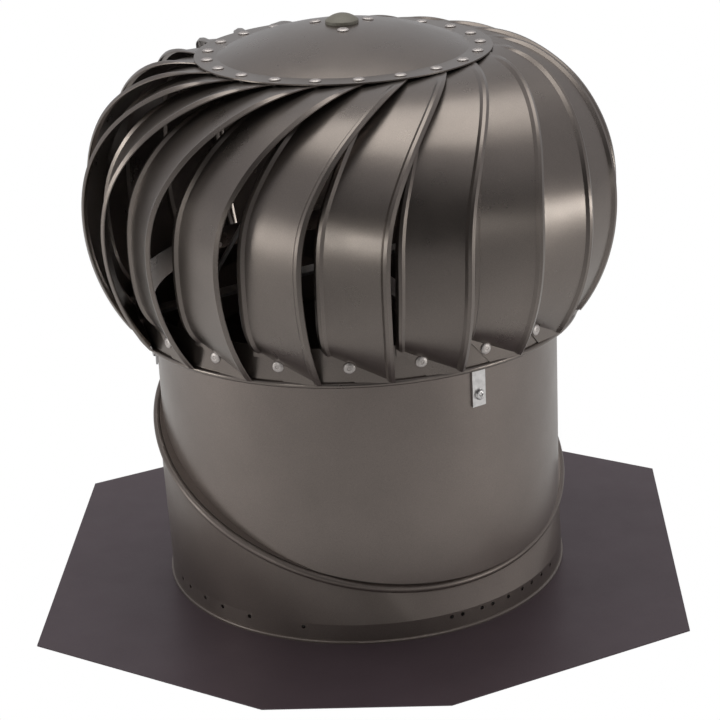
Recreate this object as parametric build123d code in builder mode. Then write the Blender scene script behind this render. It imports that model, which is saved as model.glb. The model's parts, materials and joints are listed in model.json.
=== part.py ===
"""Roof turbine ventilator, 12 inch, internally braced, on a variable-pitch base.

Frame: origin at the centre of the flashing's underside, +Z up, +Y to the back.
All lengths are in millimetres and all angles in degrees.
"""
from build123d import *
from math import asin, cos, pi, radians, sin, sqrt, tan
import os

os.makedirs("parts", exist_ok=True)

# ---------------------------------------------------------------- driving sizes
# Clearances
SEAT_GAP = 0.1            # between sheets that are riveted together
RUN_GAP = 0.4             # between parts that turn past each other
BEARING_FIT = 0.02        # radial, shaft in its inner races
HOUSING_FIT = 0.03        # radial, outer races in their housings
HOLE_GAP = 0.15           # radial, screws and rivets in their holes

# Flashing plate: an eight-sided sheet, long sides left and right
FLASHING_WIDTH = 484.0
FLASHING_DEPTH = 494.0
FRONT_EDGE = 133.0        # length of the front and back edges
SIDE_EDGE = 293.0         # length of the left and right edges
FLASHING_SHEET = 1.0
THROAT_HEIGHT = 11.0      # from the underside to the top of the throat
THROAT_SHEET = 0.9

# Neck: the lower collar, cut off at a slant
COLLAR_SHEET = 0.9
NECK_STAND = 1.2          # how far the neck's foot stands out beyond the stack
FOOT_REACH = 1.6          # how far the foot bead stands out from the neck
FOOT_HEIGHT = 2.2
NECK_UPRIGHT = 16.0       # height to which the neck stands upright
NECK_HOLE_RADIUS = 1.6
NECK_HOLE_HEIGHT = 12.8
NECK_HOLES_LEFT = (-155.0, -149.2, -140.6, -132.7, -122.6, -105.7)
NECK_HOLES_RIGHT = (-64.2, -60.8, -54.5, -50.7, -44.7, -38.7, -34.0, -28.4, -21.9)

# Pitch joint: a round joint in a slanted plane
JOINT_HEIGHT = 103.0
JOINT_TILT = 25.0
JOINT_AZIMUTH = -53.8     # the side to which the joint slopes down
JOINT_STAND = 10.5        # how far the rolled bead stands out beyond the stack
BEAD_RADIUS = 3.2         # outside of the rolled channel
ROLL_RADIUS = 1.9         # the stack's rolled lip inside the channel
LIP_HEIGHT = 4.0          # straight lip above the joint's plane
LIP_FLARE = 40.0          # how steeply the lip opens towards the stack, from the joint's axis

# Stack: the upper collar, upright
STACK_RADIUS = 154.0
STACK_TOP = 226.0

# Turbine head
VANE_COUNT = 21
HEAD_BULGE = 32.2         # how far the vanes stand out beyond the throat ring
EQUATOR_RISE = 88.0       # from the ring's lower edge up to the widest point
RIM_RISE = 109.2          # from there up to where the vanes run flat under the dome
RING_LAP = 14.0           # how far the throat ring hangs down over the stack
RING_GAP = 13.6           # between the stack and the throat ring's band
RING_HEIGHT = 26.0
RING_SHEET = 1.0
RING_BEAD_REACH = 2.4
RING_BEAD_HEIGHT = 3.4
RING_RIVET_RISE = 12.0    # above the ring's lower edge
RING_RIVET_AZIMUTH = -89.2

# Vanes
VANE_SHEET = 0.8
VANE_WIDTH = 54.0
VANE_SIDE = 31.5          # the free edge's distance beside the ring rivet
VANE_SWEEP = 43.0         # how much further it stands at the dome
VANE_PITCH_DROP = 15.5    # how far the tucked edge lies behind, at the equator
VANE_FOOT_DROP = 6.5      # what of that is gone at the foot
VANE_LAP_DROP = 3.0       # how far it lies under the next vane, at the dome
CREASE_RISE = 20.0        # slant of the crease above the riveted tongue
RIB_WIDTH = 6.8
RIB_SLOPE = 2.2
RIB_RISE = 2.0
VANE_END_REACH = 2.0      # how far its inner end reaches past the dome's flange
TONGUE_SHOULDER = 6.0     # square shoulder where the tucked rib ends
TONGUE_CUT = 16.0         # slant of the tongue's lower corner
TONGUE_LAP = 0.6          # how far the tongue runs into the bend
LAP_LENGTH = 14.0         # flat end under the dome's flange
RIVET_SEAT_RADIUS = 4.9   # flat seat pressed into the bend round the ring rivet
RIVET_SEAT_DEPTH = 12.0   # more than the seat's deepest side
VANE_STATIONS = (-1, -0.72, -0.42, -0.1, 0.15, 0.35, 0.52, 0.67, 0.8, 0.9, 1)
FREE_RIB_END = 0.8        # station where the free edge's rib stops
TUCKED_RIB_END = 0.6
RIB_RUNOUT = 0.15
RIB_TRACE = 0.06          # what is left of a rib where it has run out

# Dome
DOME_SHEET = 1.0
DOME_RISE = 19.5
DOME_RADIUS = 93.0
DOME_FLANGE = 17.0        # width of the flat flange round the dome
DOME_RIVET_REACH = 8.1    # rivets, from the inside of that flange
DOME_RIVET_TURN = 41.9    # from a vane's ring rivet to its dome rivet
HUB_RIVET_COUNT = 3
HUB_RIVET_RADIUS = 22.5
HUB_RIVET_AZIMUTH = 34.1
CAP_RADIUS = 12.3
CAP_HEIGHT = 7.0          # above the dome's top
CAP_CROWN = 5.0           # what of it is the rounded crown
HUB_PLATE_RADIUS = 31.0
HUB_PLATE_SHEET = 2.0

# Rivets
RIVET_HEAD_RADIUS = 4.3
RIVET_HEAD_HEIGHT = 1.7
RIVET_SHANK_RADIUS = 1.9
RIVET_TAIL = 1.2

# Shaft and bearings
SHAFT_RADIUS = 6.0
THREAD_RADIUS = 4.0       # reduced end through the hub
BEARING_RADIUS = 14.0
BEARING_WIDTH = 8.0
RACE_WALL = 2.6
SHIELD_SHEET = 0.6
UPPER_BEARING_DROP = 37.2   # underside of the upper bearing, below the vanes' rim
LOWER_BEARING_RISE = 20.0   # underside of the lower bearing, above the stack
SHAFT_BELOW = 12.0        # shaft end below the lower bearing
HOUSING_WALL = 2.5
HOUSING_FLANGE_RADIUS = 27.0
HOUSING_FLANGE_SHEET = 2.5
COLLAR_RADIUS = 11.0
COLLAR_WIDTH = 8.0
SET_SCREW_RADIUS = 1.9
NUT_FLATS = 13.0
NUT_HEIGHT = 3.0
WASHER_RADIUS = 7.5
WASHER_SHEET = 0.9
SHAFT_OVER = 0.3          # how far the shaft's end stands out of its nut
BOSS_RADIUS = 12.0
BOSS_HEIGHT = 8.0

# Braces
BRACE_COUNT = 3
BRACE_AZIMUTH = -53.7
CLIP_WIDTH = 11.5
CLIP_SHEET = 1.6
CLIP_SLACK = 0.3          # gap between the clip and the stack's inside
CLIP_DROP = 51.0          # the clip's outer leg, below the stack's top
CLIP_INNER_DROP = 30.0
CLIP_SCREW_RISE = 9.0     # above the end of the outer leg
ARM_WIDTH = 16.0
ARM_SHEET = 2.5
ARM_BOLT_DROP = 19.0      # the arm's foot screw, below the stack's top
ARM_FOOT = 8.0            # arm below its foot screw
ARM_RISE = 12.0           # arm above its foot screw, up to the bend
STRUT_WIDTH = 10.0
STRUT_SHEET = 2.0
STRUT_FOOT_REACH = 88.0   # along the arm from its inner bend
STRUT_TAB = 13.0
STRUT_TAB_BOLT = 7.8      # its bolt, from the tab's bend
TAB_BOLT_RADIUS = 22.0    # bolts of the braces in the housings' flanges
TAB_MARGIN = 5.0
SCREW_RADIUS = 2.0
SCREW_HEAD_RADIUS = 4.0
SCREW_HEAD_HEIGHT = 2.6
BOLT_RADIUS = 2.5
BOLT_HEAD_FLATS = 8.0
BOLT_HEAD_HEIGHT = 3.4

# ------------------------------------------------------------- worked-out sizes
VANE_STEP = 360.0 / VANE_COUNT
BRACE_STEP = 360.0 / BRACE_COUNT
NECK_RADIUS = STACK_RADIUS + NECK_STAND
THROAT_OUTSIDE = NECK_RADIUS - COLLAR_SHEET - 2 * SEAT_GAP
THROAT_RADIUS = THROAT_OUTSIDE - THROAT_SHEET
JOINT_REACH = STACK_RADIUS + JOINT_STAND
CHANNEL_RADIUS = JOINT_REACH - BEAD_RADIUS
LIP_RADIUS = CHANNEL_RADIUS - ROLL_RADIUS + COLLAR_SHEET
STACK_INSIDE = STACK_RADIUS - COLLAR_SHEET
RING_INSIDE = STACK_RADIUS + RING_GAP
RING_RADIUS = RING_INSIDE + RING_SHEET
HEAD_RADIUS = RING_RADIUS + HEAD_BULGE
HEAD_BOTTOM = STACK_TOP - RING_LAP
RING_RIVET_HEIGHT = HEAD_BOTTOM + RING_RIVET_RISE
EQUATOR_HEIGHT = HEAD_BOTTOM + EQUATOR_RISE
RIM_HEIGHT = EQUATOR_HEIGHT + RIM_RISE
RIM_RADIUS = DOME_RADIUS + DOME_FLANGE
DOME_RIVET_RADIUS = DOME_RADIUS + DOME_RIVET_REACH
VANE_END_RADIUS = DOME_RADIUS - VANE_END_REACH
TONGUE_REACH = RING_RADIUS + SEAT_GAP + VANE_SHEET / 2
FLANGE_UNDERSIDE = RIM_HEIGHT + VANE_SHEET / 2 + SEAT_GAP
FLANGE_TOP = FLANGE_UNDERSIDE + DOME_SHEET
DOME_CURVE = (DOME_RADIUS**2 + DOME_RISE**2) / (2 * DOME_RISE)
UPPER_BEARING = RIM_HEIGHT - UPPER_BEARING_DROP
LOWER_BEARING = STACK_TOP + LOWER_BEARING_RISE
RACE_INSIDE = SHAFT_RADIUS + BEARING_FIT
INNER_RACE_RADIUS = RACE_INSIDE + RACE_WALL
OUTER_RACE_INSIDE = BEARING_RADIUS - RACE_WALL
HOUSING_INSIDE = BEARING_RADIUS + HOUSING_FIT
HOUSING_RADIUS = HOUSING_INSIDE + HOUSING_WALL
CLIP_BOTTOM = STACK_TOP - CLIP_DROP
CLIP_INNER_BOTTOM = STACK_TOP - CLIP_INNER_DROP
CLIP_SCREW_HEIGHT = CLIP_BOTTOM + CLIP_SCREW_RISE
ARM_BOLT_HEIGHT = STACK_TOP - ARM_BOLT_DROP


def at_azimuth(radius, azimuth, height):
    """Point at a radius and an azimuth round the vertical axis."""
    return Vector(radius * cos(radians(azimuth)), radius * sin(radians(azimuth)), height)


def export(name, label):
    """Label a finished piece and write it as its own STEP file."""
    name.part.label = label
    export_step(name.part, f"parts/{label}.step")


brace_azimuths = [BRACE_AZIMUTH + index * BRACE_STEP for index in range(BRACE_COUNT)]
joint_axis = at_azimuth(sin(radians(JOINT_TILT)), JOINT_AZIMUTH, cos(radians(JOINT_TILT)))
joint_downhill = at_azimuth(cos(radians(JOINT_TILT)), JOINT_AZIMUTH, -sin(radians(JOINT_TILT)))
joint_plane = Plane(origin=(0, 0, JOINT_HEIGHT), x_dir=joint_downhill, z_dir=joint_axis)
joint_section = Plane(
    origin=joint_plane.origin, x_dir=joint_plane.x_dir, z_dir=-joint_plane.y_dir
)


# -------------------------------------------------------------------- flashing
with BuildPart() as flashing:
    with BuildSketch() as outline:
        with BuildLine():
            Polyline(
                (FRONT_EDGE / 2, FLASHING_DEPTH / 2),
                (-FRONT_EDGE / 2, FLASHING_DEPTH / 2),
                (-FLASHING_WIDTH / 2, SIDE_EDGE / 2),
                (-FLASHING_WIDTH / 2, -SIDE_EDGE / 2),
                (-FRONT_EDGE / 2, -FLASHING_DEPTH / 2),
                (FRONT_EDGE / 2, -FLASHING_DEPTH / 2),
                (FLASHING_WIDTH / 2, -SIDE_EDGE / 2),
                (FLASHING_WIDTH / 2, SIDE_EDGE / 2),
                close=True,
            )
        make_face()
    extrude(amount=FLASHING_SHEET)
    with BuildSketch():
        Circle(THROAT_OUTSIDE)
    extrude(amount=THROAT_HEIGHT)
    with BuildSketch():
        Circle(THROAT_RADIUS)
    extrude(amount=THROAT_HEIGHT, mode=Mode.SUBTRACT)
export(flashing, "flashing")


# ------------------------------------------------------------------------ neck
def neck_core(thickness):
    """Solid from the foot's level circle up to the joint's slanted circle."""
    with BuildPart() as core:
        with BuildSketch():
            Circle(NECK_RADIUS - thickness)
        extrude(amount=NECK_UPRIGHT)
        with BuildSketch(Plane.XY.offset(NECK_UPRIGHT)):
            Circle(NECK_RADIUS - thickness)
        with BuildSketch(joint_plane.offset(COLLAR_SHEET - BEAD_RADIUS)):
            Circle(LIP_RADIUS - thickness)
        loft()
    return core.part


neck_outside = neck_core(0)
neck_inside = neck_core(COLLAR_SHEET)

with BuildPart() as neck:
    add(neck_outside)
    with BuildSketch(joint_section):
        with BuildLine():
            shoulder = Line(
                (LIP_RADIUS - COLLAR_SHEET, -BEAD_RADIUS), (CHANNEL_RADIUS, -BEAD_RADIUS)
            )
            bead = ThreePointArc(
                shoulder @ 1,
                (CHANNEL_RADIUS + BEAD_RADIUS, 0),
                (CHANNEL_RADIUS, BEAD_RADIUS),
            )
            curl = Polyline(
                bead @ 1,
                (LIP_RADIUS + RUN_GAP, BEAD_RADIUS),
                (LIP_RADIUS + RUN_GAP, BEAD_RADIUS - COLLAR_SHEET),
                (CHANNEL_RADIUS, BEAD_RADIUS - COLLAR_SHEET),
            )
            groove = ThreePointArc(
                curl @ 1,
                (CHANNEL_RADIUS + BEAD_RADIUS - COLLAR_SHEET, 0),
                (CHANNEL_RADIUS, COLLAR_SHEET - BEAD_RADIUS),
            )
            Polyline(
                groove @ 1,
                (LIP_RADIUS - COLLAR_SHEET, COLLAR_SHEET - BEAD_RADIUS),
                shoulder @ 0,
            )
        make_face()
    revolve(axis=Axis(joint_plane.origin, joint_plane.z_dir))
    with BuildSketch(Plane.XY.offset(FLASHING_SHEET)):
        Circle(NECK_RADIUS + FOOT_REACH)
    extrude(amount=FOOT_HEIGHT)
    foot_top = neck.faces().filter_by(Axis.Z).sort_by(Axis.Z)[-1]
    foot_rim = foot_top.edges().sort_by(SortBy.LENGTH)[-1]
    fillet(foot_rim, radius=FOOT_HEIGHT / 2)
    add(neck_inside, mode=Mode.SUBTRACT)
    with BuildSketch():
        Circle(NECK_RADIUS + 2 * FOOT_REACH)
    extrude(amount=FLASHING_SHEET, mode=Mode.SUBTRACT)
    for azimuth in NECK_HOLES_LEFT + NECK_HOLES_RIGHT:
        spot = at_azimuth(NECK_RADIUS, azimuth, NECK_HOLE_HEIGHT)
        with BuildSketch(Plane(origin=spot, z_dir=at_azimuth(1, azimuth, 0))):
            Circle(NECK_HOLE_RADIUS)
        extrude(amount=2 * FOOT_REACH, both=True, mode=Mode.SUBTRACT)
export(neck, "neck")


# ----------------------------------------------------------------------- stack
def stack_core(thickness):
    """Solid from the joint's slanted circle up to the stack's level top."""
    lip_top = LIP_HEIGHT - thickness
    with BuildPart() as core:
        with BuildSketch(joint_plane.offset(lip_top)):
            Circle(LIP_RADIUS - thickness * (1 + tan(radians(LIP_FLARE))))
        extrude(amount=STACK_TOP, taper=-LIP_FLARE)
        with BuildSketch():
            Circle(STACK_RADIUS - thickness)
        extrude(amount=STACK_TOP, mode=Mode.INTERSECT)
        with BuildSketch(joint_plane):
            Circle(LIP_RADIUS - thickness)
        extrude(amount=lip_top)
    return core.part


stack_outside = stack_core(0)
stack_inside = stack_core(COLLAR_SHEET)

with BuildPart() as stack:
    add(stack_outside)
    with BuildSketch(joint_section):
        with Locations((CHANNEL_RADIUS, 0)):
            Circle(ROLL_RADIUS)
    revolve(axis=Axis(joint_plane.origin, joint_plane.z_dir))
    add(stack_inside, mode=Mode.SUBTRACT)
    for azimuth in brace_azimuths:
        spot = at_azimuth(STACK_RADIUS, azimuth, CLIP_SCREW_HEIGHT)
        with BuildSketch(Plane(origin=spot, z_dir=at_azimuth(1, azimuth, 0))):
            Circle(SCREW_RADIUS + HOLE_GAP)
        extrude(amount=3 * COLLAR_SHEET, both=True, mode=Mode.SUBTRACT)
export(stack, "stack")


# ----------------------------------------------------------------- throat ring
with BuildPart() as throat_ring:
    with BuildSketch(Plane.XZ):
        with BuildLine():
            band = Polyline(
                (RING_INSIDE, HEAD_BOTTOM - RING_SHEET),
                (RING_INSIDE, HEAD_BOTTOM + RING_HEIGHT),
                (RING_RADIUS, HEAD_BOTTOM + RING_HEIGHT),
                (RING_RADIUS, HEAD_BOTTOM + RING_SHEET),
            )
            ThreePointArc(
                band @ 1,
                (RING_RADIUS + RING_BEAD_REACH, HEAD_BOTTOM - RING_SHEET),
                (RING_RADIUS, HEAD_BOTTOM - RING_BEAD_HEIGHT),
            )
            Line(
                (RING_RADIUS, HEAD_BOTTOM - RING_BEAD_HEIGHT),
                (RING_INSIDE, HEAD_BOTTOM - RING_SHEET),
            )
        make_face()
    revolve(axis=Axis.Z)
    with Locations(Plane.XY.offset(RING_RIVET_HEIGHT)):
        with PolarLocations(RING_RADIUS, VANE_COUNT, start_angle=RING_RIVET_AZIMUTH):
            Cylinder(
                RIVET_SHANK_RADIUS + HOLE_GAP,
                4 * RING_SHEET,
                rotation=(0, 90, 0),
                mode=Mode.SUBTRACT,
            )
export(throat_ring, "throat_ring")


# ----------------------------------------------------------------------- vanes
# A vane is worked out with its ring rivet at azimuth -90: X runs along the ring
# towards the free edge, reach is measured outwards along -Y.
def outline_point(station):
    """Radius, height and outward direction of the head's outline.

    The station runs from -1 at the ring through 0 at the equator to 1 at the dome.
    """
    if station < 0:
        depth = EQUATOR_HEIGHT - HEAD_BOTTOM
        inset = HEAD_RADIUS - sqrt(VANE_SIDE**2 + TONGUE_REACH**2)
        curve = (depth**2 + inset**2) / (2 * inset)
        lean = asin(station * depth / curve)
        radius = HEAD_RADIUS - curve + curve * cos(lean)
        height = EQUATOR_HEIGHT + station * depth
        return radius, height, Vector(0, -cos(lean), sin(lean))
    turn = station * pi / 2
    across = HEAD_RADIUS - RIM_RADIUS
    rise = RIM_HEIGHT - EQUATOR_HEIGHT
    outward = Vector(0, -cos(turn) / across, sin(turn) / rise).normalized()
    return RIM_RADIUS + across * cos(turn), EQUATOR_HEIGHT + rise * sin(turn), outward


def side_at(station):
    """How far the free edge stands beside the ring rivet."""
    return VANE_SIDE + VANE_SWEEP * sin(max(station, 0) * pi / 2) ** 2


def free_edge(station):
    """Point on the vane's free edge."""
    radius, height, outward = outline_point(station)
    side = side_at(station)
    return Vector(side, -sqrt(radius**2 - side**2), height)


def tucked_edge(station):
    """Point on the vane's inner edge, which lies behind the next vane."""
    if station < 0:
        drop = VANE_PITCH_DROP + VANE_FOOT_DROP * station
    else:
        fade = cos(station * pi / 2) ** 3
        drop = VANE_LAP_DROP + (VANE_PITCH_DROP - VANE_LAP_DROP) * fade
    rise = CREASE_RISE * min(station, 0) ** 2
    raised = station + rise / (EQUATOR_HEIGHT - HEAD_BOTTOM)
    edge = free_edge(raised)
    outward = outline_point(raised)[2]
    width = sqrt(VANE_WIDTH**2 - drop**2 - rise**2)
    return edge - outward * drop - Vector(width, 0, 0)


def ridge_line(width, tucked_rise, free_rise):
    """Middle line of the vane's cross-section, with a rib along each edge."""
    return (
        (0, 0),
        (RIB_SLOPE, tucked_rise),
        (RIB_WIDTH - RIB_SLOPE, tucked_rise),
        (RIB_WIDTH, 0),
        (width - RIB_WIDTH, 0),
        (width - RIB_WIDTH + RIB_SLOPE, free_rise),
        (width - RIB_SLOPE, free_rise),
        (width, 0),
    )


def rib_rise(station, end):
    """Height of a rib, which runs out to nothing below the dome."""
    return max(RIB_RISE * min((end - station) / RIB_RUNOUT + 1, 1), RIB_TRACE)


free_points = [free_edge(station) for station in VANE_STATIONS]
tucked_points = [tucked_edge(station) for station in VANE_STATIONS]
crease_start = Vector(tucked_points[0].X, -TONGUE_REACH, tucked_points[0].Z)
tucked_points[0] = crease_start

section_planes = []
for index, station in enumerate(VANE_STATIONS):
    across = (free_points[index] - tucked_points[index]).normalized()
    before = max(index - 1, 0)
    after = min(index + 1, len(VANE_STATIONS) - 1)
    along = (
        free_points[after] + tucked_points[after] - free_points[before] - tucked_points[before]
    )
    if index == 0:
        along = along.normalized() + Vector(0, 0, 1)
    if index == len(VANE_STATIONS) - 1:
        along = Vector(0, 1, 0)
    normal = (along - across * along.dot(across)).normalized()
    section_planes.append(Plane(origin=tucked_points[index], x_dir=across, z_dir=-normal))

crease_along = (free_points[0] - tucked_points[0]).normalized()
panel_along = (free_points[1] + tucked_points[1] - free_points[0] - tucked_points[0]).normalized()
panel_outward = crease_along.cross(panel_along)
panel_skin = Plane(origin=crease_start + panel_outward * VANE_SHEET / 2, z_dir=panel_outward)

with BuildPart() as rivet_seat:
    with BuildSketch(Plane.XZ.offset(TONGUE_REACH - VANE_SHEET / 2)):
        with Locations((0, RING_RIVET_HEIGHT)):
            Circle(RIVET_SEAT_RADIUS + VANE_SHEET)
    extrude(amount=RIVET_SEAT_DEPTH)
    split(bisect_by=panel_skin, keep=Keep.BOTTOM)

with BuildPart() as vane_body:
    for index, station in enumerate(VANE_STATIONS):
        width = (free_points[index] - tucked_points[index]).length
        line = ridge_line(width, rib_rise(station, TUCKED_RIB_END), rib_rise(station, FREE_RIB_END))
        upper = [(x, y + VANE_SHEET / 2) for x, y in line]
        lower = [(x, y - VANE_SHEET / 2) for x, y in reversed(line)]
        with BuildSketch(section_planes[index]):
            with BuildLine():
                Polyline(*upper, *lower, close=True)
            make_face()
    loft()
    lap = vane_body.faces().sort_by(Axis.Y)[-1]
    extrude(lap, amount=LAP_LENGTH)
    with BuildSketch(Plane.XZ.offset(TONGUE_REACH - VANE_SHEET / 2)):
        with BuildLine():
            Polyline(
                (crease_start.X, crease_start.Z + TONGUE_LAP),
                (crease_start.X, crease_start.Z - TONGUE_SHOULDER),
                (crease_start.X + TONGUE_SHOULDER, crease_start.Z - TONGUE_SHOULDER),
                (crease_start.X + TONGUE_SHOULDER + TONGUE_CUT, HEAD_BOTTOM),
                (VANE_SIDE, HEAD_BOTTOM),
                (VANE_SIDE, HEAD_BOTTOM + TONGUE_LAP),
                close=True,
            )
        make_face()
    extrude(amount=VANE_SHEET)
    with BuildSketch():
        Circle(VANE_END_RADIUS)
    extrude(amount=2 * RIM_HEIGHT, mode=Mode.SUBTRACT)
    for turn in (0, -VANE_STEP):
        spot = at_azimuth(DOME_RIVET_RADIUS, DOME_RIVET_TURN - 90 + turn, RIM_HEIGHT)
        with Locations(spot):
            Cylinder(RIVET_SHANK_RADIUS + HOLE_GAP, 4 * VANE_LAP_DROP, mode=Mode.SUBTRACT)
    add(rivet_seat.part)
    with BuildSketch(Plane.XZ.offset(TONGUE_REACH + VANE_SHEET / 2)):
        with Locations((0, RING_RIVET_HEIGHT)):
            Circle(RIVET_SEAT_RADIUS)
    extrude(amount=RIVET_SEAT_DEPTH, mode=Mode.SUBTRACT)
    with Locations((0, -TONGUE_REACH, RING_RIVET_HEIGHT)):
        Cylinder(
            RIVET_SHANK_RADIUS + HOLE_GAP,
            4 * VANE_SHEET,
            rotation=(90, 0, 0),
            mode=Mode.SUBTRACT,
        )

vane_azimuths = [RING_RIVET_AZIMUTH + index * VANE_STEP for index in range(VANE_COUNT)]
for number, azimuth in enumerate(vane_azimuths, start=1):
    with BuildPart() as vane:
        add(vane_body.part, rotation=(0, 0, azimuth + 90))
    export(vane, f"vane_{number:02d}")


# ---------------------------------------------------------------- dome and hub
def dome_height(radius):
    """Height of the dome's upper face at a radius."""
    return FLANGE_TOP + DOME_RISE - DOME_CURVE + sqrt(DOME_CURVE**2 - radius**2)


hub_rivet_planes = []
for index in range(HUB_RIVET_COUNT):
    azimuth = HUB_RIVET_AZIMUTH + index * 360 / HUB_RIVET_COUNT
    lean = asin(HUB_RIVET_RADIUS / DOME_CURVE)
    hub_rivet_planes.append(
        Plane(
            origin=at_azimuth(HUB_RIVET_RADIUS, azimuth, dome_height(HUB_RIVET_RADIUS)),
            z_dir=at_azimuth(sin(lean), azimuth, cos(lean)),
        )
    )

with BuildPart() as dome:
    with BuildSketch(Plane.XZ):
        with BuildLine():
            Polyline(
                (DOME_RADIUS, FLANGE_TOP),
                (RIM_RADIUS, FLANGE_TOP),
                (RIM_RADIUS, FLANGE_UNDERSIDE),
                (DOME_RADIUS, FLANGE_UNDERSIDE),
            )
            ThreePointArc(
                (DOME_RADIUS, FLANGE_UNDERSIDE),
                (DOME_RADIUS / 2, dome_height(DOME_RADIUS / 2) - DOME_SHEET),
                (0, dome_height(0) - DOME_SHEET),
            )
            Line((0, dome_height(0) - DOME_SHEET), (0, dome_height(0)))
            ThreePointArc(
                (0, dome_height(0)),
                (DOME_RADIUS / 2, dome_height(DOME_RADIUS / 2)),
                (DOME_RADIUS, FLANGE_TOP),
            )
        make_face()
    revolve(axis=Axis.Z)
    with Locations((0, 0, dome_height(0))):
        Hole(THREAD_RADIUS + HOLE_GAP)
    with Locations(Plane.XY.offset(FLANGE_TOP)):
        with PolarLocations(
            DOME_RIVET_RADIUS, VANE_COUNT, start_angle=RING_RIVET_AZIMUTH + DOME_RIVET_TURN
        ):
            Cylinder(RIVET_SHANK_RADIUS + HOLE_GAP, 4 * DOME_SHEET, mode=Mode.SUBTRACT)
    with Locations(*hub_rivet_planes):
        Cylinder(RIVET_SHANK_RADIUS + HOLE_GAP, 6 * DOME_SHEET, mode=Mode.SUBTRACT)
export(dome, "dome")

hub_top = dome_height(0) - DOME_SHEET - SEAT_GAP
hub_underside = hub_top - HUB_PLATE_SHEET
boss_underside = hub_underside - BOSS_HEIGHT
with BuildPart() as hub_plate:
    with BuildSketch(Plane.XZ):
        with BuildLine():
            rim_drop = dome_height(0) - dome_height(HUB_PLATE_RADIUS)
            middle_drop = dome_height(0) - dome_height(HUB_PLATE_RADIUS / 2)
            top_arc = ThreePointArc(
                (0, hub_top),
                (HUB_PLATE_RADIUS / 2, hub_top - middle_drop),
                (HUB_PLATE_RADIUS, hub_top - rim_drop),
            )
            edge = Line(top_arc @ 1, (HUB_PLATE_RADIUS, hub_underside - rim_drop))
            under_arc = ThreePointArc(
                edge @ 1,
                (HUB_PLATE_RADIUS / 2, hub_underside - middle_drop),
                (0, hub_underside),
            )
            Line(under_arc @ 1, top_arc @ 0)
        make_face()
    revolve(axis=Axis.Z)
    with BuildSketch(Plane.XY.offset(boss_underside)):
        Circle(BOSS_RADIUS)
    extrude(amount=BOSS_HEIGHT + HUB_PLATE_SHEET / 2)
    with Locations((0, 0, hub_top)):
        Hole(THREAD_RADIUS + HOLE_GAP)
    with Locations(*hub_rivet_planes):
        Cylinder(RIVET_SHANK_RADIUS + HOLE_GAP, 4 * HUB_PLATE_SHEET, mode=Mode.SUBTRACT)
export(hub_plate, "hub_plate")

washer_base = dome_height(0)
with BuildPart() as shaft_washer:
    with BuildSketch(Plane.XY.offset(washer_base)):
        Circle(WASHER_RADIUS)
        Circle(THREAD_RADIUS + HOLE_GAP, mode=Mode.SUBTRACT)
    extrude(amount=WASHER_SHEET)
export(shaft_washer, "shaft_washer")

with BuildPart() as shaft_nut:
    with BuildSketch(Plane.XY.offset(washer_base + WASHER_SHEET)):
        RegularPolygon(NUT_FLATS / 2, 6, major_radius=False)
        Circle(THREAD_RADIUS + HOLE_GAP, mode=Mode.SUBTRACT)
    extrude(amount=NUT_HEIGHT)
export(shaft_nut, "shaft_nut")

shaft_top = washer_base + WASHER_SHEET + NUT_HEIGHT + SHAFT_OVER
with BuildPart() as shaft:
    with BuildSketch(Plane.XY.offset(LOWER_BEARING - SHAFT_BELOW)):
        Circle(SHAFT_RADIUS)
    extrude(amount=boss_underside - LOWER_BEARING + SHAFT_BELOW)
    with BuildSketch(Plane.XY.offset(boss_underside)):
        Circle(THREAD_RADIUS)
    extrude(amount=shaft_top - boss_underside)
    chamfer(shaft.edges().filter_by(GeomType.CIRCLE).group_by(Axis.Z)[0], length=SHAFT_RADIUS / 6)
export(shaft, "shaft")

cap_base = dome_height(CAP_RADIUS - DOME_SHEET)
cap_top = dome_height(0) + CAP_HEIGHT


def crowned_plug(radius, top):
    """Upright cylinder whose top is a shallow round crown."""
    ball = (CAP_RADIUS**2 + CAP_CROWN**2) / (2 * CAP_CROWN)
    shoulder = top - ball + sqrt(ball**2 - radius**2)
    halfway = top - ball + sqrt(ball**2 - (radius / 2) ** 2)
    with BuildPart() as plug:
        with BuildSketch(Plane.XZ):
            with BuildLine():
                wall = Polyline((0, cap_base), (radius, cap_base), (radius, shoulder))
                crown = ThreePointArc(wall @ 1, (radius / 2, halfway), (0, top))
                Line(crown @ 1, wall @ 0)
            make_face()
        revolve(axis=Axis.Z)
    return plug.part


with BuildPart() as hub_cap:
    add(crowned_plug(CAP_RADIUS, cap_top))
    add(crowned_plug(CAP_RADIUS - DOME_SHEET, cap_top - DOME_SHEET), mode=Mode.SUBTRACT)
export(hub_cap, "hub_cap")


# ---------------------------------------------------------------------- rivets
def rivet_body(grip):
    """Domed rivet, its head on the plane of origin and its shank below."""
    with BuildPart() as rivet:
        with BuildSketch(Plane.XZ):
            with BuildLine():
                head = TangentArc(
                    (0, RIVET_HEAD_HEIGHT), (RIVET_HEAD_RADIUS, 0), tangent=(1, 0)
                )
                Polyline(
                    head @ 1,
                    (RIVET_SHANK_RADIUS, 0),
                    (RIVET_SHANK_RADIUS, -grip - RIVET_TAIL),
                    (0, -grip - RIVET_TAIL),
                    head @ 0,
                )
            make_face()
        revolve(axis=Axis.Z)
    return rivet.part


dome_rivet = rivet_body(DOME_SHEET + VANE_LAP_DROP + VANE_SHEET)
ring_rivet = rivet_body(VANE_SHEET + SEAT_GAP + RING_SHEET)
hub_rivet = rivet_body(DOME_SHEET + SEAT_GAP + HUB_PLATE_SHEET)

with BuildPart() as dome_rivets:
    with Locations(Plane.XY.offset(FLANGE_TOP)):
        with PolarLocations(
            DOME_RIVET_RADIUS, VANE_COUNT, start_angle=RING_RIVET_AZIMUTH + DOME_RIVET_TURN
        ):
            add(dome_rivet)
export(dome_rivets, "dome_rivets")

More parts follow.
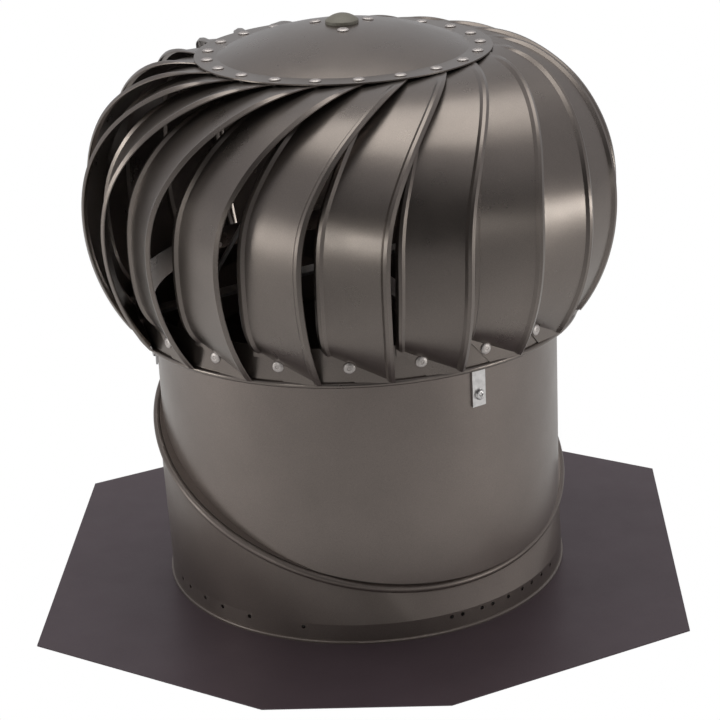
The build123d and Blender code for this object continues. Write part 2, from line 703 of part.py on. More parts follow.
with BuildPart() as ring_rivets:
    for azimuth in vane_azimuths:
        spot = at_azimuth(TONGUE_REACH + VANE_SHEET / 2, azimuth, RING_RIVET_HEIGHT)
        with Locations(Plane(origin=spot, z_dir=at_azimuth(1, azimuth, 0))):
            add(ring_rivet)
export(ring_rivets, "ring_rivets")

with BuildPart() as hub_rivets:
    with Locations(*hub_rivet_planes):
        add(hub_rivet)
export(hub_rivets, "hub_rivets")


# -------------------------------------------------------------------- bearings
def ring_section(inside, outside, bottom, top):
    """Closed rectangle for a revolved ring."""
    return Polyline(
        (inside, bottom), (outside, bottom), (outside, top), (inside, top), close=True
    )


for name, base in (("upper", UPPER_BEARING), ("lower", LOWER_BEARING)):
    with BuildPart() as inner_race:
        with BuildSketch(Plane.XZ):
            with BuildLine():
                ring_section(RACE_INSIDE, INNER_RACE_RADIUS, base, base + BEARING_WIDTH)
            make_face()
        revolve(axis=Axis.Z)
    export(inner_race, f"{name}_bearing_inner_race")

    with BuildPart() as outer_race:
        with BuildSketch(Plane.XZ):
            with BuildLine():
                ring_section(OUTER_RACE_INSIDE, BEARING_RADIUS, base, base + BEARING_WIDTH)
            make_face()
            for shield in (SHIELD_SHEET, BEARING_WIDTH - 2 * SHIELD_SHEET):
                with BuildLine():
                    ring_section(
                        INNER_RACE_RADIUS + RUN_GAP,
                        OUTER_RACE_INSIDE,
                        base + shield,
                        base + shield + SHIELD_SHEET,
                    )
                make_face()
        revolve(axis=Axis.Z)
    export(outer_race, f"{name}_bearing_outer_race")

    with BuildPart() as housing:
        with BuildSketch(Plane.XZ):
            with BuildLine():
                Polyline(
                    (OUTER_RACE_INSIDE, base),
                    (OUTER_RACE_INSIDE, base - HOUSING_FLANGE_SHEET),
                    (HOUSING_FLANGE_RADIUS, base - HOUSING_FLANGE_SHEET),
                    (HOUSING_FLANGE_RADIUS, base),
                    (HOUSING_RADIUS, base),
                    (HOUSING_RADIUS, base + BEARING_WIDTH),
                    (HOUSING_INSIDE, base + BEARING_WIDTH),
                    (HOUSING_INSIDE, base),
                    close=True,
                )
            make_face()
        revolve(axis=Axis.Z)
        with Locations((0, 0, base)):
            with PolarLocations(TAB_BOLT_RADIUS, BRACE_COUNT, start_angle=BRACE_AZIMUTH):
                Cylinder(BOLT_RADIUS + HOLE_GAP, 4 * HOUSING_FLANGE_SHEET, mode=Mode.SUBTRACT)
    export(housing, f"{name}_bearing_housing")

# The shaft collars: one above the upper bearing, one below the lower bearing
collar_step = HOUSING_FLANGE_SHEET + RUN_GAP
upper_collar_base = UPPER_BEARING + BEARING_WIDTH
lower_collar_base = LOWER_BEARING - collar_step - COLLAR_WIDTH
collar_screw_heights = (
    upper_collar_base + collar_step + COLLAR_WIDTH / 2,
    lower_collar_base + COLLAR_WIDTH / 2,
)
for name, base, step_base, screw_height in (
    ("upper", upper_collar_base + collar_step, upper_collar_base, collar_screw_heights[0]),
    ("lower", lower_collar_base, lower_collar_base + COLLAR_WIDTH, collar_screw_heights[1]),
):
    with BuildPart() as shaft_collar:
        with BuildSketch(Plane.XY.offset(base)):
            Circle(COLLAR_RADIUS)
        extrude(amount=COLLAR_WIDTH)
        with BuildSketch(Plane.XY.offset(step_base)):
            Circle(INNER_RACE_RADIUS)
        extrude(amount=collar_step)
        with Locations((0, 0, base)):
            Cylinder(RACE_INSIDE, 6 * COLLAR_WIDTH, mode=Mode.SUBTRACT)
        with Locations((COLLAR_RADIUS, 0, screw_height)):
            Cylinder(
                SET_SCREW_RADIUS + HOLE_GAP,
                2 * (COLLAR_RADIUS - SHAFT_RADIUS) + HOLE_GAP,
                rotation=(0, 90, 0),
                mode=Mode.SUBTRACT,
            )
    export(shaft_collar, f"{name}_shaft_collar")

with BuildPart() as collar_set_screws:
    for screw_height in collar_screw_heights:
        with BuildSketch(Plane(origin=(COLLAR_RADIUS, 0, screw_height), z_dir=(-1, 0, 0))):
            Circle(SET_SCREW_RADIUS)
        extrude(amount=COLLAR_RADIUS - RACE_INSIDE)
export(collar_set_screws, "collar_set_screws")


# ---------------------------------------------------------------------- braces
# Each brace is worked out in the XZ plane and turned to its azimuth.
clip_outside = STACK_RADIUS + SEAT_GAP
clip_inside = STACK_INSIDE - CLIP_SLACK
arm_seat = clip_inside - CLIP_SHEET
arm_elbow = Vector(HOUSING_FLANGE_RADIUS + ARM_SHEET, LOWER_BEARING - HOUSING_FLANGE_SHEET)
arm_knee = Vector(arm_seat, ARM_BOLT_HEIGHT + ARM_RISE)
arm_along = (arm_knee - arm_elbow).normalized()
arm_up = Vector(-arm_along.Y, arm_along.X)
strut_foot = arm_elbow + arm_along * STRUT_FOOT_REACH + arm_up * STRUT_SHEET
strut_toe = strut_foot + arm_along * STRUT_TAB
strut_bolt = strut_foot + arm_along * STRUT_TAB_BOLT
tab_start = TAB_BOLT_RADIUS - TAB_MARGIN


def plane_at(point, direction):
    """Plane at a point of the XZ plane, facing along a direction in it."""
    return Plane(
        origin=(point.X, 0, point.Y), x_dir=(0, 1, 0), z_dir=(direction.X, 0, direction.Y)
    )


with BuildPart() as clip_body:
    with BuildSketch(Plane.XZ):
        with BuildLine():
            FilletPolyline(
                (clip_outside, CLIP_BOTTOM),
                (clip_outside, STACK_TOP + SEAT_GAP),
                (clip_inside, STACK_TOP + SEAT_GAP),
                (clip_inside, CLIP_INNER_BOTTOM),
                radius=CLIP_SLACK,
            )
            offset(amount=CLIP_SHEET, side=Side.RIGHT)
        make_face()
    extrude(amount=CLIP_WIDTH / 2, both=True)
    with Locations(plane_at(Vector(clip_outside, CLIP_SCREW_HEIGHT), Vector(1, 0))):
        Cylinder(SCREW_RADIUS + HOLE_GAP, 3 * CLIP_SHEET, mode=Mode.SUBTRACT)
    with Locations(plane_at(Vector(clip_inside, ARM_BOLT_HEIGHT), Vector(1, 0))):
        Cylinder(SCREW_RADIUS + HOLE_GAP, 3 * CLIP_SHEET, mode=Mode.SUBTRACT)

with BuildPart() as arm_body:
    with BuildSketch(Plane.XZ):
        with BuildLine():
            FilletPolyline(
                (tab_start, arm_elbow.Y),
                (arm_elbow.X, arm_elbow.Y),
                (arm_knee.X, arm_knee.Y),
                (arm_seat, ARM_BOLT_HEIGHT - ARM_FOOT),
                radius=2 * ARM_SHEET,
            )
            offset(amount=ARM_SHEET, side=Side.RIGHT)
        make_face()
    extrude(amount=ARM_WIDTH / 2, both=True)
    with Locations(plane_at(Vector(TAB_BOLT_RADIUS, arm_elbow.Y), Vector(0, 1))):
        Cylinder(BOLT_RADIUS + HOLE_GAP, 3 * ARM_SHEET, mode=Mode.SUBTRACT)
    with Locations(plane_at(strut_bolt, arm_up)):
        Cylinder(BOLT_RADIUS + HOLE_GAP, 6 * ARM_SHEET, mode=Mode.SUBTRACT)
    with Locations(plane_at(Vector(arm_seat, ARM_BOLT_HEIGHT), Vector(1, 0))):
        Cylinder(SCREW_RADIUS + HOLE_GAP, 3 * ARM_SHEET, mode=Mode.SUBTRACT)

strut_head = UPPER_BEARING - HOUSING_FLANGE_SHEET
with BuildPart() as strut_body:
    with BuildSketch(Plane.XZ):
        with BuildLine():
            FilletPolyline(
                (tab_start, strut_head),
                (arm_elbow.X, strut_head),
                (strut_foot.X, strut_foot.Y),
                (strut_toe.X, strut_toe.Y),
                radius=2 * STRUT_SHEET,
            )
            offset(amount=STRUT_SHEET, side=Side.RIGHT)
        make_face()
    extrude(amount=STRUT_WIDTH / 2, both=True)
    with Locations(plane_at(Vector(TAB_BOLT_RADIUS, strut_head), Vector(0, 1))):
        Cylinder(BOLT_RADIUS + HOLE_GAP, 3 * STRUT_SHEET, mode=Mode.SUBTRACT)
    with Locations(plane_at(strut_bolt, arm_up)):
        Cylinder(BOLT_RADIUS + HOLE_GAP, 6 * STRUT_SHEET, mode=Mode.SUBTRACT)

for number, azimuth in enumerate(brace_azimuths, start=1):
    with BuildPart() as clip:
        add(clip_body.part, rotation=(0, 0, azimuth))
    export(clip, f"mounting_clip_{number}")
    with BuildPart() as arm:
        add(arm_body.part, rotation=(0, 0, azimuth))
    export(arm, f"brace_arm_{number}")
    with BuildPart() as strut:
        add(strut_body.part, rotation=(0, 0, azimuth))
    export(strut, f"brace_strut_{number}")


# --------------------------------------------------------------- screws and nuts
def screw_body(grip):
    """Pan-head screw, its head on the plane of origin and its shank below."""
    with BuildPart() as screw:
        with BuildSketch():
            Circle(SCREW_HEAD_RADIUS)
        extrude(amount=SCREW_HEAD_HEIGHT)
        fillet(screw.edges().group_by(Axis.Z)[-1], radius=SCREW_HEAD_HEIGHT / 2)
        with BuildSketch():
            Circle(SCREW_RADIUS)
        extrude(amount=-grip)
    return screw.part


def bolt_body(grip):
    """Hexagon bolt, its head on the plane of origin and its shank below."""
    with BuildPart() as bolt:
        with BuildSketch():
            RegularPolygon(BOLT_HEAD_FLATS / 2, 6, major_radius=False)
        extrude(amount=BOLT_HEAD_HEIGHT)
        with BuildSketch():
            Circle(BOLT_RADIUS)
        extrude(amount=-grip - BOLT_HEAD_HEIGHT - HOLE_GAP)
    return bolt.part


with BuildPart() as bolt_nut:
    with BuildSketch():
        RegularPolygon(BOLT_HEAD_FLATS / 2, 6, major_radius=False)
        Circle(BOLT_RADIUS + HOLE_GAP, mode=Mode.SUBTRACT)
    extrude(amount=-BOLT_HEAD_HEIGHT)

clip_screw = screw_body(CLIP_SHEET + SEAT_GAP + COLLAR_SHEET + SCREW_RADIUS)
arm_screw = screw_body(ARM_SHEET + CLIP_SHEET)
with BuildPart() as brace_screw_pair:
    with Locations(plane_at(Vector(clip_outside + CLIP_SHEET, CLIP_SCREW_HEIGHT), Vector(1, 0))):
        add(clip_screw)
    with Locations(plane_at(Vector(arm_seat - ARM_SHEET, ARM_BOLT_HEIGHT), Vector(-1, 0))):
        add(arm_screw)

bolt_places = (
    (Vector(TAB_BOLT_RADIUS, UPPER_BEARING), Vector(0, 1), HOUSING_FLANGE_SHEET + STRUT_SHEET),
    (Vector(TAB_BOLT_RADIUS, LOWER_BEARING), Vector(0, 1), HOUSING_FLANGE_SHEET + ARM_SHEET),
    (strut_bolt, arm_up, STRUT_SHEET + ARM_SHEET),
)
with BuildPart() as brace_bolt_set:
    for point, direction, grip in bolt_places:
        with Locations(plane_at(point, direction)):
            add(bolt_body(grip))

with BuildPart() as brace_nut_set:
    for point, direction, grip in bolt_places:
        with Locations(plane_at(point - direction * grip, direction)):
            add(bolt_nut.part)

for label, screw_set in (
    ("clip_screws", brace_screw_pair),
    ("brace_bolts", brace_bolt_set),
    ("brace_nuts", brace_nut_set),
):
    with BuildPart() as fasteners:
        for azimuth in brace_azimuths:
            add(screw_set.part, rotation=(0, 0, azimuth))
    export(fasteners, label)
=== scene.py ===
"""Looks of the roof turbine ventilator: materials, fine detail, camera and studio.

Lengths are metres, in the frame of the CAD model.
"""
import json
from math import cos, pi, radians, sin

import bmesh
import bpy
from mathutils import Matrix, Vector


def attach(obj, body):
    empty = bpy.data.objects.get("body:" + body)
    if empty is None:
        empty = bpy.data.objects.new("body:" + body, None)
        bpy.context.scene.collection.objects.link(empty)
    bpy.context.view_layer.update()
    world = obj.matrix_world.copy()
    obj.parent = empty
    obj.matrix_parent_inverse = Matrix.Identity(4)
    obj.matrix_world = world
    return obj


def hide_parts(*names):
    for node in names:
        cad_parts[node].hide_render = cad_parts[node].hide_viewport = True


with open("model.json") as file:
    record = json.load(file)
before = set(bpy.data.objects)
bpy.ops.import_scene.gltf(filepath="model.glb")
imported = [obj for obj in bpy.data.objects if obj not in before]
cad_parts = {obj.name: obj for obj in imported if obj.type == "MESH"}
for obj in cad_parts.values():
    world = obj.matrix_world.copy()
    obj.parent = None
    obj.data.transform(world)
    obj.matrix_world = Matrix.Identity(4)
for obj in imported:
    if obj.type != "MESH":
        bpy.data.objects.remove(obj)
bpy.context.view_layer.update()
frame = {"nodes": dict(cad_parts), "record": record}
nodes = frame["nodes"]


# ---------------------------------------------------------------- node materials
BUMP_DISTANCE = 0.0002
PEEL_STRENGTH = 0.05      # orange peel of a sprayed coat
COAT_ROUGHNESS = 0.22


def new_material(name):
    """Node material that holds only its output and a Principled shader."""
    material = bpy.data.materials.new(name)
    material.use_nodes = True
    tree = material.node_tree
    tree.nodes.clear()
    output = tree.nodes.new("ShaderNodeOutputMaterial")
    shader = tree.nodes.new("ShaderNodeBsdfPrincipled")
    tree.links.new(shader.outputs["BSDF"], output.inputs["Surface"])
    return material, tree, shader


def noise(tree, coords, scale, detail, roughness):
    """Noise texture in object coordinates, so scale counts its patches per metre."""
    node = tree.nodes.new("ShaderNodeTexNoise")
    node.inputs["Scale"].default_value = scale
    node.inputs["Detail"].default_value = detail
    node.inputs["Roughness"].default_value = roughness
    tree.links.new(coords.outputs["Object"], node.inputs["Vector"])
    return node.outputs["Fac"]


def ramp(tree, factor, stops):
    """Colour ramp with (position, rgb) stops."""
    node = tree.nodes.new("ShaderNodeValToRGB")
    elements = node.color_ramp.elements
    elements[0].position = stops[0][0]
    elements[0].color = (*stops[0][1], 1)
    elements[1].position = stops[-1][0]
    elements[1].color = (*stops[-1][1], 1)
    for position, colour in stops[1:-1]:
        element = elements.new(position)
        element.color = (*colour, 1)
    tree.links.new(factor, node.inputs["Fac"])
    return node.outputs["Color"]


def map_range(tree, factor, reach, levels):
    """Map Range node that takes a number from reach to levels, both (low, high)."""
    node = tree.nodes.new("ShaderNodeMapRange")
    node.inputs["From Min"].default_value = reach[0]
    node.inputs["From Max"].default_value = reach[1]
    node.inputs["To Min"].default_value = levels[0]
    node.inputs["To Max"].default_value = levels[1]
    tree.links.new(factor, node.inputs["Value"])
    return node


def vary_roughness(tree, shader, cloud, low, high):
    """Roughness that follows a noise, whose values lie mostly within 0.3 to 0.7."""
    spread = map_range(tree, cloud, (0.3, 0.7), (low, high))
    tree.links.new(spread.outputs["Result"], shader.inputs["Roughness"])


def bump(tree, shader, height, strength):
    """Fine relief of the surface from a noise."""
    node = tree.nodes.new("ShaderNodeBump")
    node.inputs["Strength"].default_value = strength
    node.inputs["Distance"].default_value = BUMP_DISTANCE
    tree.links.new(height, node.inputs["Height"])
    tree.links.new(node.outputs["Normal"], shader.inputs["Normal"])


def tinted(colour, share):
    """Colour times a share: below 1 it gets darker, above 1 lighter."""
    return [channel * share for channel in colour]


def bronze_paint(name, colour, roughness, metallic, coat):
    """Satin metallic bronze coating: flakes, slight mottling and orange peel."""
    material, tree, shader = new_material(name)
    coords = tree.nodes.new("ShaderNodeTexCoord")
    mottle = noise(tree, coords, scale=9.0, detail=5.0, roughness=0.55)
    flakes = noise(tree, coords, scale=2600.0, detail=2.0, roughness=0.5)
    base = ramp(
        tree, mottle, [(0.3, tinted(colour, 0.90)), (0.5, colour), (0.7, tinted(colour, 1.10))]
    )
    sparkle = ramp(tree, flakes, [(0.3, [0.86] * 3), (0.7, [1.14] * 3)])
    mix = tree.nodes.new("ShaderNodeMix")
    mix.data_type = "RGBA"
    mix.blend_type = "MULTIPLY"
    mix.inputs["Factor"].default_value = 1.0
    tree.links.new(base, mix.inputs["A"])
    tree.links.new(sparkle, mix.inputs["B"])
    tree.links.new(mix.outputs["Result"], shader.inputs["Base Color"])
    smudge = noise(tree, coords, scale=30.0, detail=6.0, roughness=0.6)
    vary_roughness(tree, shader, smudge, roughness - 0.04, roughness + 0.04)
    shader.inputs["Metallic"].default_value = metallic
    shader.inputs["Coat Weight"].default_value = coat
    shader.inputs["Coat Roughness"].default_value = COAT_ROUGHNESS
    peel = noise(tree, coords, scale=700.0, detail=2.0, roughness=0.5)
    bump(tree, shader, peel, PEEL_STRENGTH)
    return material


def bare_metal(name, colour, roughness, grain, scratch=0.15):
    """Bare or plated metal: grain counts its cloudy patches per metre."""
    material, tree, shader = new_material(name)
    coords = tree.nodes.new("ShaderNodeTexCoord")
    cloud = noise(tree, coords, scale=grain, detail=5.0, roughness=0.6)
    base = ramp(tree, cloud, [(0.32, tinted(colour, 0.82)), (0.62, colour)])
    tree.links.new(base, shader.inputs["Base Color"])
    vary_roughness(tree, shader, cloud, roughness - 0.06, roughness + 0.08)
    shader.inputs["Metallic"].default_value = 1.0
    marks = noise(tree, coords, scale=grain * 6, detail=3.0, roughness=0.6)
    bump(tree, shader, marks, scratch)
    return material


vane_paint = bronze_paint(
    "vane_paint", (0.222, 0.190, 0.172), roughness=0.30, metallic=0.88, coat=0.35
)
collar_paint = bronze_paint(
    "collar_paint", (0.250, 0.211, 0.192), roughness=0.37, metallic=0.82, coat=0.35
)
# The neck's bronze is a fifth darker than its slot's: painted shade on the neck.
shaded_neck_paint = bronze_paint(
    "shaded_neck_paint", (0.200, 0.167, 0.151), roughness=0.42, metallic=0.78, coat=0.2
)
flashing_paint = bronze_paint(
    "flashing_paint", (0.096, 0.068, 0.081), roughness=0.45, metallic=0.35, coat=0.08
)
cap_paint = bronze_paint(
    "cap_paint", (0.220, 0.205, 0.172), roughness=0.55, metallic=0.15, coat=0.05
)
rivet_metal = bare_metal("rivet_metal", (0.66, 0.61, 0.59), roughness=0.42, grain=900.0)
zinc_plate = bare_metal("zinc_plate", (0.76, 0.74, 0.74), roughness=0.34, grain=260.0)
bearing_steel = bare_metal("bearing_steel", (0.62, 0.62, 0.63), roughness=0.22, grain=400.0)
cast_aluminium = bare_metal(
    "cast_aluminium", (0.58, 0.58, 0.58), roughness=0.42, grain=500.0, scratch=0.4
)

slot_materials = {
    "bronze_vane": vane_paint,
    "bronze_collar": collar_paint,
    "bronze_flashing": flashing_paint,
    "bare_rivet": rivet_metal,
    "zinc_steel": zinc_plate,
    "bearing_steel": bearing_steel,
    "housing_aluminium": cast_aluminium,
}
node_materials = {
    subpart["node"]: slot_materials[subpart["material_slot"]]
    for subpart in frame["record"]["subparts"]
}
# Two nodes get a paint of their own instead of their slot's: the hub cap a matte olive one, and
# the neck a darker, rougher bronze whose darkness is painted shade.
node_materials["hub_cap"] = cap_paint
node_materials["neck"] = shaded_neck_paint
for name, material in node_materials.items():
    for slot in nodes[name].material_slots:
        slot.material = material


# ------------------------------------------------------------- rivets and screws
MERGE_DISTANCE = 1e-6


def islands(node):
    """Vertex coordinates of each separate solid of a CAD node, in the CAD's frame."""
    shape = bmesh.new()
    shape.from_mesh(node.data)
    bmesh.ops.remove_doubles(shape, verts=shape.verts, dist=MERGE_DISTANCE)
    visited = set()
    found = []
    for start in shape.verts:
        if start in visited:
            continue
        visited.add(start)
        pending = [start]
        group = []
        while pending:
            vertex = pending.pop()
            group.append(node.matrix_world @ vertex.co)
            for edge in vertex.link_edges:
                neighbour = edge.other_vert(vertex)
                if neighbour not in visited:
                    visited.add(neighbour)
                    pending.append(neighbour)
        found.append(group)
    shape.free()
    return found


def middle(group):
    """Mean of a solid's points."""
    return sum(group, Vector()) / len(group)


def turned_body(shape, profile, place, dent=None, segments=48):
    """Body of revolution round place's Z, from (radius, height) points top to bottom.

    dent is a function of x and y that gives how deep a point there is pressed in.
    """
    rings = []
    for radius, height in profile:
        ring = []
        for index in range(segments):
            turn = 2 * pi * index / segments
            x = radius * cos(turn)
            y = radius * sin(turn)
            z = height - (dent(x, y) if dent else 0)
            ring.append(shape.verts.new(place @ Vector((x, y, z))))
        rings.append(ring)
    for upper, lower in zip(rings, rings[1:]):
        for index in range(segments):
            after = (index + 1) % segments
            shape.faces.new((upper[index], lower[index], lower[after], upper[after]))
    shape.faces.new(rings[0])
    shape.faces.new(reversed(rings[-1]))


def axis_frame(group, axis):
    """Frame whose Z is the axis, with its origin at a solid's top along it, and its length."""
    centre = middle(group)
    top = max(point.dot(axis) for point in group)
    bottom = min(point.dot(axis) for point in group)
    origin = centre + axis * (top - centre.dot(axis))
    turn = axis.to_track_quat("Z", "Y").to_matrix().to_4x4()
    return Matrix.Translation(origin) @ turn, top - bottom


def smooth_object(name, shape, sharp_angle):
    """Object of a finished bmesh, smooth except over edges sharper than sharp_angle degrees."""
    mesh = bpy.data.meshes.new(name)
    bmesh.ops.recalc_face_normals(shape, faces=shape.faces)
    shape.to_mesh(mesh)
    shape.free()
    mesh.shade_smooth()
    mesh.set_sharp_from_angle(angle=radians(sharp_angle))
    piece = bpy.data.objects.new(name, mesh)
    bpy.context.scene.collection.objects.link(piece)
    return piece


RIVET_HEAD = 0.0043          # radius of the flange
RIVET_RISE = 0.0017          # top of the head above the sheet
RIVET_EDGE = 0.0003          # thickness of the flange at its rim
RIVET_UNDERCUT = 0.0001      # height of the rounding under the rim
RIVET_SHANK = 0.0019         # radius
RIVET_DOME = (14, 86)        # stretch of the head's quarter round that shows, in degrees
RIVET_DOME_STEPS = 8
MANDREL = 0.0011             # radius
MANDREL_END = (              # (share of the mandrel's radius, depth under the head's top)
    (0.55, 0.00022),         # face of the pulled end
    (0.85, 0.00028),         # its rounded edge
    (1.0, 0.0005),           # groove round it
    (1.12, 0.0005),
    (1.25, 0.00018),         # rim of the hole
)
HEAD_FROM = 1.5              # the head's round starts at this share of the mandrel's radius
DOME_PRESS_RADIUS = 0.2315   # radius to which the dome is pressed


def rivet_profile(length):
    """Blind rivet: low domed flange, the hole in its middle and the mandrel's end in it."""
    first, last = RIVET_DOME
    head = []
    for step in range(RIVET_DOME_STEPS + 1):
        turn = radians(first + (last - first) * step / RIVET_DOME_STEPS)
        radius = RIVET_HEAD * sin(turn) / sin(radians(last))
        height = -RIVET_RISE + RIVET_EDGE + (RIVET_RISE - RIVET_EDGE) * cos(turn)
        if radius > MANDREL * HEAD_FROM:
            head.append((radius, height))
    return [
        *[(MANDREL * share, -depth) for share, depth in MANDREL_END],
        *head,
        (RIVET_HEAD * 0.985, -RIVET_RISE + RIVET_UNDERCUT),
        (RIVET_HEAD * 0.95, -RIVET_RISE),
        (RIVET_SHANK, -RIVET_RISE),
        (RIVET_SHANK, -length),
    ]


def outward(point):
    """Level direction from the turbine's axis through a point."""
    return Vector((point.x, point.y, 0)).normalized()


def upward(point):
    """Straight up, at any point."""
    return Vector((0, 0, 1))


def dome_normal(point):
    """Direction square to the pressed dome at a point."""
    lean = Vector((point.x, point.y, 0)).length / DOME_PRESS_RADIUS
    return outward(point) * sin(lean) + Vector((0, 0, cos(lean)))


for node_name, direction in (
    ("ring_rivets", outward),
    ("dome_rivets", upward),
    ("hub_rivets", dome_normal),
):
    rivets = bmesh.new()
    for group in islands(nodes[node_name]):
        place, length = axis_frame(group, direction(middle(group)))
        turned_body(rivets, rivet_profile(length), place)
    piece = smooth_object(node_name + "_looks", rivets, sharp_angle=35)
    piece.data.materials.append(rivet_metal)
    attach(piece, "turbine_head")
    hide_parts(node_name)


SCREW_HEAD = 0.004           # radius
SCREW_RISE = 0.0026          # height of the head
SCREW_SHANK = 0.002          # radius
RIM_WIDTH = 0.0016           # the head's rounded rim, across
RIM_HEIGHT = 0.0015          # the same, along the axis
RIM_DEPTH = 0.0018           # foot of the rounding under the head's top
RIM_STEPS = 7
TOP_RINGS = 14               # rings of points that carry the cross recess
TOP_FALL = 0.00002           # how much lower each ring lies than the one inside it
CROSS_ARM = 0.0021           # reach of the recess from the screw's axis
CROSS_WIDTH = 0.0005         # width of a slot at its bottom
CROSS_DEPTH = 0.0011
CROSS_RUN_OUT = 0.45         # share of an arm over which the recess runs out
PAST_SHANK = 0.003           # points farther than this from a screw's axis are on its head


def clamp(value):
    """Value held between 0 and 1."""
    return min(max(value, 0), 1)


def cross_recess(x, y):
    """Depth of a cross recess at a point of the screw's head.

    A slot's walls slope, so that it is three times as wide at the top as at its bottom.
    """
    side = min(abs(x), abs(y))
    reach = max(abs(x), abs(y))
    across = clamp((CROSS_WIDTH * 1.5 - side) / CROSS_WIDTH)
    along = clamp((CROSS_ARM - reach) / (CROSS_ARM * CROSS_RUN_OUT))
    return CROSS_DEPTH * across * along


def screw_profile(length):
    """Pan head with a rounded rim, closely ringed on top for its cross recess."""
    top = [
        (CROSS_ARM * (index + 1) / TOP_RINGS, -TOP_FALL * index) for index in range(TOP_RINGS)
    ]
    rim = []
    for step in range(RIM_STEPS + 1):
        turn = radians(90 * step / RIM_STEPS)
        radius = SCREW_HEAD - RIM_WIDTH + RIM_WIDTH * sin(turn)
        rim.append((radius, -RIM_DEPTH + RIM_HEIGHT * cos(turn)))
    return [
        *top,
        *rim,
        (SCREW_HEAD, -SCREW_RISE),
        (SCREW_SHANK, -SCREW_RISE),
        (SCREW_SHANK, -length),
    ]


def points_inwards(group):
    """Whether a screw's head is nearer to the turbine's axis than its shank."""
    centre = middle(group)
    reach = [Vector((point.x, point.y, 0)).length for point in group]
    head_reach = [
        distance
        for distance, point in zip(reach, group)
        if abs(point.z - centre.z) > PAST_SHANK
    ]
    return sum(head_reach) / len(head_reach) < sum(reach) / len(reach)


screws = bmesh.new()
for group in islands(nodes["clip_screws"]):
    axis = outward(middle(group))
    if points_inwards(group):
        axis = -axis
    place, length = axis_frame(group, axis)
    turned_body(screws, screw_profile(length), place, dent=cross_recess, segments=64)
screw_piece = smooth_object("clip_screws_looks", screws, sharp_angle=30)
screw_piece.data.materials.append(zinc_plate)
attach(screw_piece, "stack_body")
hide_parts("clip_screws")


# ------------------------------------------------------------------------ camera
def look(name, position, turn, tilt, roll, lens):
    """Camera looking down by tilt, turned from +Y, and rolled; angles in radians."""
    forward = Vector((sin(turn) * cos(tilt), cos(turn) * cos(tilt), -sin(tilt)))
    level = Vector((cos(turn), -sin(turn), 0))
    upright = level.cross(forward)
    right = cos(roll) * level + sin(roll) * upright
    up = cos(roll) * upright - sin(roll) * level
    camera_data = bpy.data.cameras.new(name)
    camera_data.lens = lens
    camera_data.sensor_width = 36
    camera_data.clip_end = 50
    camera = bpy.data.objects.new(name, camera_data)
    rotation = Matrix((right, up, -forward)).transposed().to_4x4()
    camera.matrix_world = Matrix.Translation(position) @ rotation
    bpy.context.scene.collection.objects.link(camera)
    return camera


bpy.context.scene.camera = look(
    "camera",
    position=Vector((0.0793, -1.5573, 0.7599)),
    turn=-0.0499,
    tilt=0.3645,
    roll=-0.0473,
    lens=107.44,
)


# ------------------------------------------------------------------------ studio
FLOOR_REACH = 6.0            # from the middle of the floor to each side
FLOOR_HEIGHT = -0.0005       # just under the flashing
FLOOR_QUADS = 8
THROAT = 0.16                # radius within which the floor is seen through the throat


def grid_sheet(name, reach, height, count):
    """Level square sheet of count x count quads, reach metres from its middle to each side."""
    mesh = bpy.data.meshes.new(name)
    shape = bmesh.new()
    bmesh.ops.create_grid(shape, x_segments=count, y_segments=count, size=reach)
    bmesh.ops.translate(shape, vec=(0, 0, height), verts=shape.verts)
    shape.to_mesh(mesh)
    shape.free()
    sheet = bpy.data.objects.new(name, mesh)
    bpy.context.scene.collection.objects.link(sheet)
    return sheet


def mix_shaders(tree, factor, first, second):
    """First shader where the factor is 0, second where it is 1."""
    mix = tree.nodes.new("ShaderNodeMixShader")
    tree.links.new(factor, mix.inputs["Fac"])
    tree.links.new(first, mix.inputs[1])
    tree.links.new(second, mix.inputs[2])
    return mix.outputs["Shader"]


def white_for_camera(tree, shaded, white_node):
    """Plain white to the camera, the given shader to every other ray."""
    white = tree.nodes.new(white_node)
    white.inputs["Color"].default_value = (1, 1, 1, 1)
    white.inputs["Strength"].default_value = 1.0
    path = tree.nodes.new("ShaderNodeLightPath")
    return mix_shaders(tree, path.outputs["Is Camera Ray"], shaded, white.outputs[0])


def ramp_along_y(tree, vector, reach, levels):
    """Number that runs smoothly through levels as Y runs through reach, both (low, high)."""
    split = tree.nodes.new("ShaderNodeSeparateXYZ")
    tree.links.new(vector, split.inputs["Vector"])
    node = map_range(tree, split.outputs["Y"], reach, levels)
    node.interpolation_type = "SMOOTHSTEP"
    return node.outputs["Result"]


def studio_floor():
    """Floor that is white to the camera, except where it is seen through the throat.

    To the object its colour is pale at the sides and behind and darker in front, a painted
    shade that stands for the dim front of a photo studio.
    """
    material, tree, shader = new_material("floor_white")
    coords = tree.nodes.new("ShaderNodeTexCoord").outputs["Object"]
    # Base colour that darkens towards the front: painted shade, which the metal reflects.
    shade = ramp_along_y(tree, coords, reach=(-0.85, 0.0), levels=(0.50, 0.97))
    tree.links.new(shade, shader.inputs["Base Color"])
    shader.inputs["Roughness"].default_value = 0.7
    from_axis = tree.nodes.new("ShaderNodeVectorMath")
    from_axis.operation = "LENGTH"
    tree.links.new(coords, from_axis.inputs["Vector"])
    outside_throat = tree.nodes.new("ShaderNodeMath")
    outside_throat.operation = "GREATER_THAN"
    outside_throat.inputs[1].default_value = THROAT
    tree.links.new(from_axis.outputs["Value"], outside_throat.inputs[0])
    shaded = shader.outputs["BSDF"]
    white = white_for_camera(tree, shaded, "ShaderNodeEmission")
    surface = mix_shaders(tree, outside_throat.outputs["Value"], shaded, white)
    tree.links.new(surface, tree.nodes["Material Output"].inputs["Surface"])
    floor = grid_sheet("floor", FLOOR_REACH, FLOOR_HEIGHT, FLOOR_QUADS)
    floor.data.materials.append(material)


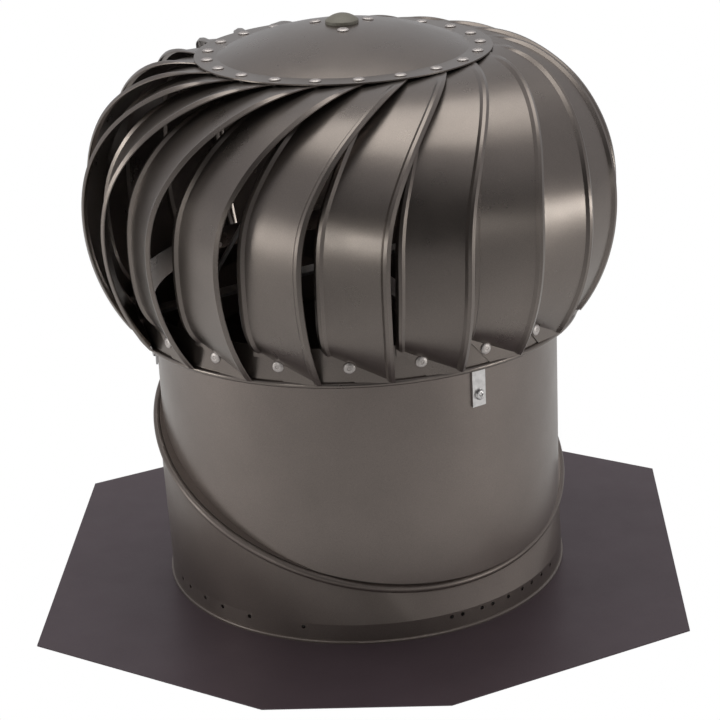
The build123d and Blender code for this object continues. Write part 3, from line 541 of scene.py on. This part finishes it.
def studio_room():
    """Room that is white to the camera.

    To the object it is dark in front, where the camera stands, and brighter at the sides and
    the back.
    """
    world = bpy.data.worlds.new("studio")
    bpy.context.scene.world = world
    world.use_nodes = True
    tree = world.node_tree
    tree.nodes.clear()
    output = tree.nodes.new("ShaderNodeOutputWorld")
    room = tree.nodes.new("ShaderNodeBackground")
    room.inputs["Color"].default_value = (0.98, 0.98, 1.0, 1)
    direction = tree.nodes.new("ShaderNodeTexCoord").outputs["Generated"]
    level = tree.nodes.new("ShaderNodeMath")
    level.operation = "ADD"
    side = ramp_along_y(tree, direction, reach=(-0.95, -0.35), levels=(0.03, 0.39))
    back = ramp_along_y(tree, direction, reach=(-0.2, 0.9), levels=(0.0, 0.10))
    tree.links.new(side, level.inputs[0])
    tree.links.new(back, level.inputs[1])
    tree.links.new(level.outputs["Value"], room.inputs["Strength"])
    surface = white_for_camera(tree, room.outputs["Background"], "ShaderNodeBackground")
    tree.links.new(surface, output.inputs["Surface"])


HEAD_CENTRE = Vector((0, 0, 0.3))
SOFTBOX_DISTANCE = 2.0
SOFTBOX_COLOUR = (1.0, 1.0, 0.95)


def softbox(name, azimuth, elevation, width, height, power):
    """Rectangular soft light facing the head.

    Azimuth 0 is the camera's side and 90 the right, in degrees as elevation is; power is in
    watts.
    """
    turn = radians(azimuth)
    rise = radians(elevation)
    towards = Vector((sin(turn) * cos(rise), -cos(turn) * cos(rise), sin(rise)))
    light = bpy.data.lights.new(name, "AREA")
    light.shape = "RECTANGLE"
    light.size = width
    light.size_y = height
    light.energy = power
    light.color = SOFTBOX_COLOUR
    lamp = bpy.data.objects.new(name, light)
    lamp.location = HEAD_CENTRE + towards * SOFTBOX_DISTANCE
    lamp.rotation_euler = (-towards).to_track_quat("-Z", "Y").to_euler()
    bpy.context.scene.collection.objects.link(lamp)


studio_floor()
studio_room()
softbox("left_box", azimuth=-28, elevation=4, width=0.24, height=0.42, power=2.1)
softbox("front_right_box", azimuth=32, elevation=3, width=0.3, height=0.4, power=0.7)
softbox("right_box", azimuth=68, elevation=-3, width=0.50, height=0.28, power=4.0)
softbox("left_side_box", azimuth=-73, elevation=3, width=0.38, height=0.55, power=5.6)
softbox("overhead_box", azimuth=180, elevation=86, width=2.3, height=1.5, power=19)

bpy.context.scene.view_settings.view_transform = "Standard"
